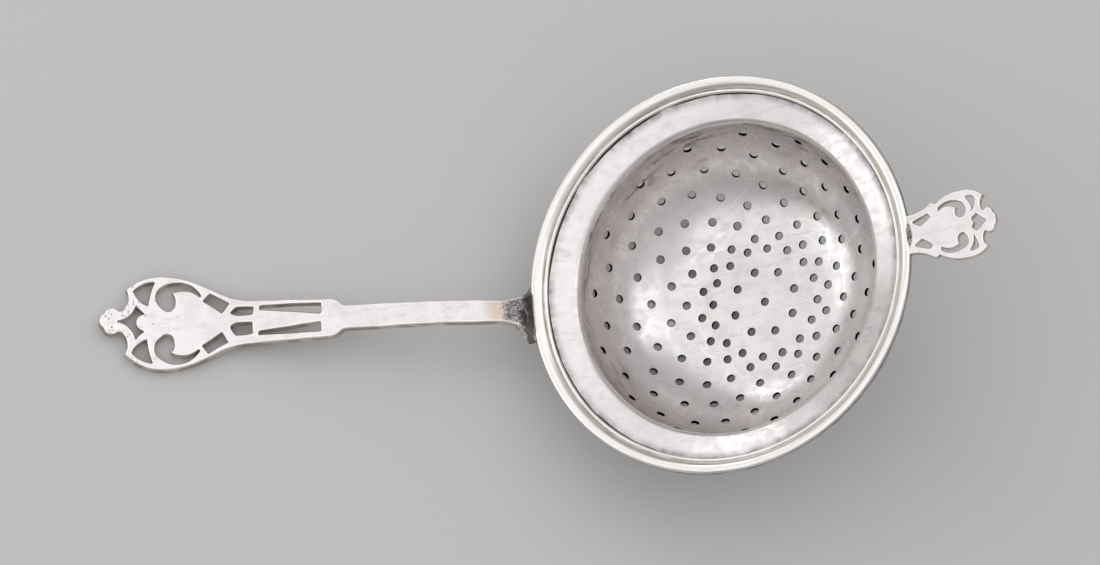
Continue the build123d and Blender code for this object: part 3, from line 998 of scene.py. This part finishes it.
# %% [markdown]
# A stain is a soft cloud of noise with its edge moved by how dirty the place is. A pit is a cell
# of a Voronoi pattern: only a share of the cells is chosen, and each has a round cup in it.

# %% Groups: stains and pits
stains, gin, gout = new_group(
    "soft_stains", [("Vector", "Vector", None), ("Size", "Float", 4.0), ("Where", "Float", 1.0),
                    ("Amount", "Float", 0.5)], [("Mask", "Float")],
)
blotch = noise(stains, gin["Vector"], maths(stains, "DIVIDE", 1.0, gin["Size"]), 5.0, 0.62, 0.4)
edge_at = minus(stains, 0.86, times(stains, gin["Amount"], 0.5))
edge_at = minus(stains, edge_at, times(stains, gin["Where"], 0.18))
cloud = between(stains, blotch, edge_at, plus(stains, edge_at, 0.22))
feed(stains, times(stains, cloud, gin["Where"], clamp=True), gout["Mask"])

pits, gin, gout = new_group(
    "pits", [("Vector", "Vector", None), ("Size", "Float", 0.5), ("Share", "Float", 0.3)],
    [("Mask", "Float"), ("Depth", "Float")],
)
cells = add(pits, "ShaderNodeTexVoronoi", {
    "Vector": gin["Vector"], "Scale": maths(pits, "DIVIDE", 1.0, gin["Size"]), "Randomness": 1.0,
})
pick = add(pits, "ShaderNodeSeparateColor", {0: cells.outputs["Color"]}).outputs[0]
chosen = maths(pits, "LESS_THAN", pick, gin["Share"])
cup = between(pits, cells.outputs["Distance"], 0.12, 0.42, 1.0, 0.0)
feed(pits, times(pits, chosen, between(pits, cup, 0.2, 0.7)), gout["Mask"])
feed(pits, times(pits, chosen, cup), gout["Depth"])
print("groups:", sorted(g.name for g in bpy.data.node_groups))


# %% [markdown]
# ## Four finishes of silver
# All four are plain metal, a white with a breath of rose in it. What differs is what happened to
# the surface: the bowl was polished in circles, the wire was drawn, the handles were filed flat
# and their edges wore bright, and the solder went dark and stayed rough. Each finish is a
# colour, a roughness and a height for very small bumps.


# %% A base for the finishes
def silver_material(name):
    """A material with a metal shader; returns the material, its tree and the shader."""
    paint = bpy.data.materials.new(name)
    paint.use_nodes = True
    tree = paint.node_tree
    shader = tree.nodes["Principled BSDF"]
    shader.inputs["Metallic"].default_value = 1.0
    return paint, tree, shader


def finish_with(tree, shader, colour, roughness, height, distance):
    """Connects a finish to its shader; distance is how high the bumps stand, in metres."""
    feed(tree, colour, shader.inputs["Base Color"])
    feed(tree, roughness, shader.inputs["Roughness"])
    bumps = add(tree, "ShaderNodeBump", {"Strength": 1.0, "Distance": distance, "Height": height})
    feed(tree, bumps.outputs["Normal"], shader.inputs["Normal"])


# %% [markdown]
# ### The bowl's silver
# The polishing mop ran round the bowl, so its lines are circles. They are dark and plain to see
# on the upper wall and fade on the base, where cloths have rubbed in all directions. The walls of
# the holes are painted nearly black, painted shade that makes the holes read dark. Grey tarnish
# creeps out of the corner under the wire, where no cloth reaches, but only on the inside. The
# first cell finds where on the bowl each of these belongs.

# %% Raised silver: where the marks are
bowl_silver, tree, shader = silver_material("raised_silver")
place = use(tree, rim_place, Stretch=4.5)
point, ring, radius, up = place["Point"], place["Ring"], place["Radius"], place["Height"]
lines = use(tree, polish_lines, Vector=ring, Fineness=1.05, Gaps=0.36)
soft_lines = use(tree, polish_lines, Vector=ring, Fineness=1.6, Gaps=0.40)

below_mouth = between(tree, up, -3.1, -2.7, 1.0, 0.0)
on_wall = times(tree, between(tree, up, -15.5, -7.5), below_mouth)
on_flange = between(tree, radius, 26.6, 28.2)
sideways = add(tree, "ShaderNodeSeparateXYZ", {0: point}).outputs["Y"]
# the polishing streaks are real; making them darker towards the far wall is painted shade
far_wall_shade = plus(tree, 0.55, times(tree, between(tree, sideways, -14.0, 16.0), 0.45))
streaks = times(tree, lines["Streaks"], times(tree, on_wall, far_wall_shade))
thin_streaks = times(tree, soft_lines["Streaks"], plus(tree, on_wall, 0.10))
tea_tan = times(tree, on_wall, between(tree, place["Out"], 6.0, -20.0))
# painted shade: the walls of the holes are coloured nearly black so that the holes read dark
painted_dark_hole_walls = carried(tree, "in_hole")

# %% [markdown]
# The tarnish under the wire creeps inwards in feathers, and further in some places than in
# others: one noise is drawn out across the flange, a second one is broad.

# %% Raised silver: tarnish, clouds and painted highlights
feathers = use(tree, rim_place, Stretch=17.0)["Ring"]
feathers = add(tree, "ShaderNodeVectorMath", {0: feathers, 1: (1.0, 1.0, 0.3)}, operation="MULTIPLY")
feathers = noise(tree, feathers.outputs[0], 1.0, 4.0, 0.6)
broad = noise(tree, point, 0.09, 2.0, 0.5)
tarnish = times(tree, between(tree, radius, 29.8, 31.3), carried(tree, "inside"))
tarnish = times(tree, tarnish, between(tree, feathers, 0.22, 0.74, 0.25, 1.0))
tarnish = times(tree, tarnish, between(tree, broad, 0.30, 0.54, 0.35, 1.0))

stain = use(tree, stains, Vector=point, Size=6.0, Where=1.0, Amount=0.16)["Mask"]
mottle = noise(tree, point, 0.6, 3.0, 0.55)
cloud = noise(tree, point, 0.16, 3.0, 0.55)
scratch = use(tree, scratches, Vector=point, Size=1.0, Amount=0.6)["Mask"]
# painted highlights: soft bright arcs round the base that stand in for reflections of the lights
painted_highlight_arcs = use(tree, wander, Vector=ring, Size=3.4, Width=0.03, Share=0.75)["Mask"]
painted_highlight_arcs = times(tree, painted_highlight_arcs, between(tree, up, -17.5, -12.5, 1.0, 0.0))
painted_highlight_arcs = times(tree, painted_highlight_arcs, between(tree, radius, 10.0, 13.5))

# %% Raised silver: colour, roughness and bumps
colour = mix_colours(tree, between(tree, cloud, 0.36, 0.64), (0.76, 0.73, 0.74), (0.84, 0.805, 0.795))
colour = coat(
    tree, colour,
    (between(tree, mottle, 0.44, 0.70), 0.28, (0.64, 0.62, 0.63)),
    (tea_tan, 0.40, (0.72, 0.62, 0.54)),
    (on_flange, 0.7, (0.86, 0.825, 0.82)),
    (thin_streaks, 0.40, (0.34, 0.32, 0.32)),
    (streaks, 0.75, (0.13, 0.115, 0.11)),
    (scratch, 0.35, (0.45, 0.44, 0.44)),
    (stain, 0.5, (0.42, 0.40, 0.41)),
    # painted highlight arcs
    (painted_highlight_arcs, 0.5, (0.98, 0.97, 0.97)),
    (tarnish, 0.85, (0.25, 0.235, 0.26)),
    # painted shade in the holes
    (painted_dark_hole_walls, 0.9, (0.035, 0.03, 0.028)),
)
rough = between(tree, mottle, 0.35, 0.7, 0.26, 0.38)
rough = plus(tree, rough, times(tree, maths(tree, "MAXIMUM", tarnish, painted_dark_hole_walls), 0.25))
rough = minus(tree, rough, times(tree, painted_highlight_arcs, 0.08))
line_height = plus(tree, times(tree, on_wall, 0.9), 0.06)
height = times(tree, lines["Lines"], line_height)
height = minus(tree, height, times(tree, scratch, 0.35))
finish_with(tree, shader, colour, rough, height, 0.00003)

# %% [markdown]
# ### The wire's silver
# The draw plate left long lines along the wire. Its crown is rubbed bright, the rest looks
# slightly warm in places, and the groove beside the bead is coloured darker.

# %% Drawn silver
wire_silver, tree, shader = silver_material("drawn_silver")
place = use(tree, rim_place, Stretch=1.2)
radius = place["Radius"]
lines = use(tree, polish_lines, Vector=place["Ring"], Fineness=3.2, Gaps=0.40)
blotches = noise(tree, place["Point"], 0.22, 3.0, 0.6)
warm = between(tree, blotches, 0.40, 0.62)
crown = between(tree, radius, 33.2, 33.8)
# a darker line along the groove beside the bead
groove = maths(tree, "ABSOLUTE", minus(tree, radius, on_slope(bead_width, 0.2)[0]))
groove = between(tree, groove, 0.02, 0.16, 1.0, 0.0)
groove = times(tree, groove, between(tree, blotches, 0.30, 0.60, 0.45, 1.0))
colour = coat(
    tree, mix_colours(tree, warm, (0.92, 0.89, 0.87), (0.92, 0.865, 0.81)),
    (crown, 0.7, (0.95, 0.95, 0.97)),
    (lines["Streaks"], 0.40, (0.5, 0.46, 0.43)),
    (groove, 0.7, (0.30, 0.27, 0.255)),
)
rough = plus(tree, between(tree, blotches, 0.35, 0.65, 0.20, 0.30), times(tree, groove, 0.2))
finish_with(tree, shader, colour, rough, lines["Lines"], 0.00002)

# %% [markdown]
# ### The handles' silver
# The faces were filed and rubbed to a satin. The `edge` value that the sawn plates carry marks
# where the surface rolls over: there the metal is worn bright and smooth, and right on the sawn
# wall the polish has left a brown line. Near the rim the long handle was heated and never
# cleaned: first a straw tint, then blue-grey, pitted and crossed by pale worm-like lines; that
# dark blue-grey on the foot and neck is partly tarnish and partly painted shade and dark
# reflection. Everything is placed by its distance from the rim's axis on that side.

# %% Sawn silver: where the marks are
handle_silver, tree, shader = silver_material("sawn_silver")
place = use(tree, rim_place, Stretch=3.0)
point = place["Point"]
edge = carried(tree, "edge")
grain = noise(tree, point, 2.2, 5.0, 0.65)
cloud = noise(tree, point, 0.35, 3.0, 0.55)
scratch = use(tree, scratches, Vector=point, Size=0.8, Amount=0.6)["Mask"]
rolled = between(tree, edge, 0.35, 0.75)
stained_wall = between(tree, edge, 0.90, 1.0)
stained_wall = times(tree, stained_wall, between(tree, cloud, 0.40, 0.56, 0.25, 0.85))

from_axis = times(tree, place["Out"], -1.0)
long_side = maths(tree, "GREATER_THAN", from_axis, 20.0)
wavy = plus(tree, from_axis, times(tree, minus(tree, cloud, 0.5), 4.0))
sideways = add(tree, "ShaderNodeSeparateXYZ", {0: point}).outputs["Y"]
# partly tarnish, partly painted shade and dark reflection: the dark blue-grey on the long handle's foot
# and neck
neck_tarnish_and_shade = times(tree, between(tree, wavy, 36.3, 37.7, 1.0, 0.0), long_side)
neck_tarnish_and_shade = times(tree, neck_tarnish_and_shade, between(tree, sideways, -3.4, -1.6, 0.25, 1.0))
straw = times(tree, between(tree, wavy, 38.8, 41.6, 1.0, 0.0), long_side)
# painted shade: a near-black band at the root of the long handle, in the corner where its foot meets the
# wire
gap = times(tree, between(tree, wavy, 34.5, 35.0, 1.0, 0.0), long_side)
cast = between(tree, from_axis, 92.0, 98.0)
cast = times(tree, cast, between(tree, edge, 0.05, 0.5, 0.20, 1.0))
small_pits = use(tree, pits, Vector=point, Size=0.40, Share=times(tree, cast, 0.40))
burnt_pits = use(tree, pits, Vector=point, Size=0.34, Share=times(tree, neck_tarnish_and_shade, 0.7))
worms = use(tree, wander, Vector=point, Size=1.1, Width=0.05, Share=0.9)["Mask"]
worms = times(tree, worms, neck_tarnish_and_shade)

# %% Sawn silver: colour, roughness and bumps
colour = mix_colours(tree, between(tree, cloud, 0.38, 0.66), (0.88, 0.845, 0.84), (0.80, 0.76, 0.755))
neck_tarnish_and_shade_tone = mix_colours(tree, between(tree, grain, 0.40, 0.60), (0.11, 0.11, 0.13), (0.36, 0.34, 0.34))
colour = coat(
    tree, colour,
    (between(tree, grain, 0.45, 0.75), 0.30, (0.72, 0.70, 0.70)),
    (scratch, 0.35, (0.5, 0.48, 0.48)),
    (straw, 0.75, (0.62, 0.50, 0.41)),
    # dark foot and neck: tarnish with painted shade and dark reflection
    (neck_tarnish_and_shade, 0.92, neck_tarnish_and_shade_tone),
    (worms, 0.7, (0.62, 0.57, 0.56)),
    (small_pits["Mask"], 0.85, (0.06, 0.05, 0.045)),
    (burnt_pits["Mask"], 0.8, (0.04, 0.04, 0.045)),
    (rolled, 0.85, (0.97, 0.955, 0.945)),
    (stained_wall, 1.0, (0.34, 0.27, 0.215)),
    # painted shade in the corner at the handle's root
    (gap, 0.75, (0.02, 0.018, 0.018)),
)
rough = between(tree, grain, 0.35, 0.7, 0.30, 0.42)
rough = minus(tree, rough, times(tree, rolled, 0.14))
rough = plus(tree, rough, times(tree, neck_tarnish_and_shade, 0.16), clamp=True)
height = times(tree, grain, 0.3)
for mask, depth in ((scratch, 0.25), (small_pits["Depth"], 1.4), (burnt_pits["Depth"], 2.6)):
    height = minus(tree, height, times(tree, mask, depth))
finish_with(tree, shader, colour, rough, height, 0.00005)

# %% [markdown]
# ### The solder
# Solder holds more copper and zinc than the silver round it, so it tarnishes first: slate grey,
# with brown in its hollows and bright specks where something has rubbed against it. The thin
# seam under the wire is the darkest of all: partly tarnish, and partly painted shade in the
# corner under the wire's bead.

# %% Dark solder
solder_paint, tree, shader = silver_material("dark_solder")
place = use(tree, rim_place, Stretch=3.0)
point = place["Point"]
grain = noise(tree, point, 2.8, 5.0, 0.7)
cloud = noise(tree, point, 0.8, 3.0, 0.6)
hollows = use(tree, pits, Vector=point, Size=0.45, Share=0.55)
specks = use(tree, pits, Vector=point, Size=0.3, Share=0.16)
# tarnish with painted shade: the seam in the corner under the wire's bead is coloured near-black
seam_tarnish_and_shade = between(tree, place["Radius"], 32.2, 32.8, 1.0, 0.0)
colour = mix_colours(tree, between(tree, cloud, 0.4, 0.62), (0.22, 0.22, 0.23), (0.46, 0.44, 0.41))
colour = coat(
    tree, colour,
    (between(tree, grain, 0.5, 0.68), 0.5, (0.42, 0.40, 0.39)),
    (hollows["Mask"], 0.8, (0.07, 0.06, 0.055)),
    (specks["Mask"], 0.8, (0.75, 0.73, 0.71)),
    # near-black seam: tarnish and painted shade
    (seam_tarnish_and_shade, 0.85, (0.045, 0.038, 0.035)),
)
rough = between(tree, grain, 0.3, 0.7, 0.34, 0.55)
height = minus(tree, grain, times(tree, hollows["Depth"], 1.5))
finish_with(tree, shader, colour, rough, height, 0.00008)
print("finishes:", sorted(m.name for m in bpy.data.materials))

# %% [markdown]
# ## Putting the pieces in place
# Each finished piece stands for one node of the imported model, takes its finish, and rides on
# the strainer's only body.

# %% Finishes, slots and bodies
for piece, node, slot, paint in (
    (bowl, "strainer_bowl", "raised_silver", bowl_silver),
    (wire, "rim_wire", "drawn_silver", wire_silver),
    (seam, "rim_solder", "solder", solder_paint),
    (handle, "long_handle", "sawn_silver", handle_silver),
    (handle_lump, "handle_solder", "solder", solder_paint),
    (tab, "tab_handle", "sawn_silver", handle_silver),
    (tab_lump, "tab_solder", "solder", solder_paint),
):
    piece.data.materials.append(paint)
    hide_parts(node)
    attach(piece, "root")
    print(piece.name, "stands for", node)
